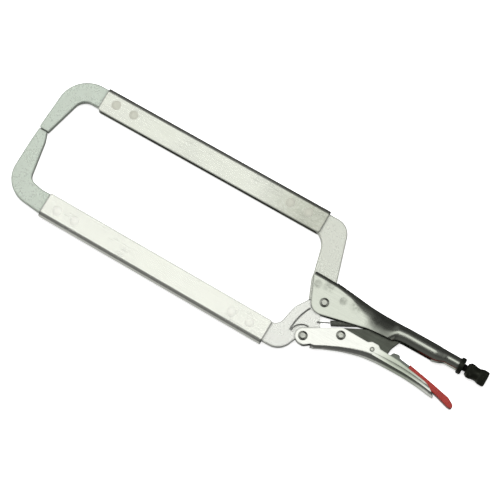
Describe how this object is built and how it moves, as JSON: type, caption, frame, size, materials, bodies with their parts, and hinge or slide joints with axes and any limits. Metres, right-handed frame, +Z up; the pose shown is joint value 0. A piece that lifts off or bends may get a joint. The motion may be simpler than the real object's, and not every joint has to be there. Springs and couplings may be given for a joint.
{
  "type": "locking c clamp",
  "caption": "Locking C clamp with long channel arms and a deep throat, closed and locked, with a toggle handle, an adjusting screw and a release lever.",
  "frame": {"origin": "middle of the underside of the clamp's box, on the bench that the clamp lies flat on", "axes": "+X from the jaw tips towards the adjusting knob, +Y from the moving arm towards the fixed arm, +Z up from the bench along the pivot pins"},
  "size_m": [0.5164, 0.1518, 0.018],
  "materials": {
    "arms_paint": "satin nickel plated steel sheet",
    "jaw_steel": "satin nickel plated forged steel",
    "handle_nickel": "bright nickel plate",
    "link_dark": "dark plated steel plate",
    "rivet_steel": "plated rivet steel",
    "knob_black": "black finished knurled steel",
    "cover_red": "dipped red vinyl",
    "spring_steel": "dark spring wire",
    "screw_dark": "black finished thread",
    "lever_grey": "plated steel sheet"
  },
  "bodies": {
    "fixed_side": {"upper_handle": "handle_nickel", "threaded_bushing": "screw_dark", "fixed_jaw_root": "jaw_steel", "upper_arm_channel": "arms_paint", "upper_jaw_tip": "jaw_steel", "upper_front_rivets": "arms_paint", "upper_rear_rivets": "arms_paint", "main_pivot_rivet": "rivet_steel", "return_spring": "spring_steel"},
    "moving_jaw": {"moving_jaw_root": "jaw_steel", "lower_arm_channel": "arms_paint", "lower_jaw_tip": "jaw_steel", "lower_front_rivets": "arms_paint", "lower_rear_rivets": "arms_paint"},
    "lower_handle": {"lower_handle": "handle_nickel", "jaw_handle_rivet": "rivet_steel", "link_rivet": "rivet_steel", "lever_pin": "rivet_steel"},
    "toggle_link": {"toggle_link": "link_dark"},
    "release_lever": {"release_lever": "lever_grey", "lever_tail_cover": "cover_red"},
    "adjusting_screw": {"adjusting_screw": "screw_dark"},
    "adjusting_knob": {"adjusting_knob": "knob_black"}
  },
  "joints": [
    {"name": "jaw_open", "type": "hinge", "parent": "fixed_side", "child": "moving_jaw", "pos_m": [0.08157, -0.00866, 0.009], "axis": [0, 0, 1], "range_deg": [0, 28], "deforming": ["return_spring"]},
    {"name": "handle_fold", "type": "hinge", "parent": "moving_jaw", "child": "lower_handle", "pos_m": [0.07938, -0.04816, 0.009], "axis": [0, 0, 1], "range_deg": [-78, 0]},
    {"name": "link_swing", "type": "hinge", "parent": "lower_handle", "child": "toggle_link", "pos_m": [0.11177, -0.02916, 0.009], "axis": [0, 0, 1], "range_deg": [0, 89]},
    {"name": "lever_release", "type": "hinge", "parent": "lower_handle", "child": "release_lever", "pos_m": [0.14558, -0.02626, 0.009], "axis": [0, 0, 1], "range_deg": [0, 6]},
    {"name": "screw_travel", "type": "slide", "parent": "fixed_side", "child": "adjusting_screw", "axis": [1, 0, 0], "range_m": [0, 0.009]},
    {"name": "knob_turn", "type": "hinge", "parent": "adjusting_screw", "child": "adjusting_knob", "pos_m": [0.24657, 0.00434, 0.009], "axis": [1, 0, 0], "range_deg": [0, 2593]}
  ],
  "couplings": [
    {"joint": "handle_fold", "follows": "jaw_open", "ratio": -2.76},
    {"joint": "link_swing", "follows": "jaw_open", "ratio": 3.16},
    {"joint": "knob_turn", "follows": "screw_travel", "rad_per_m": 5026.5}
  ]
}
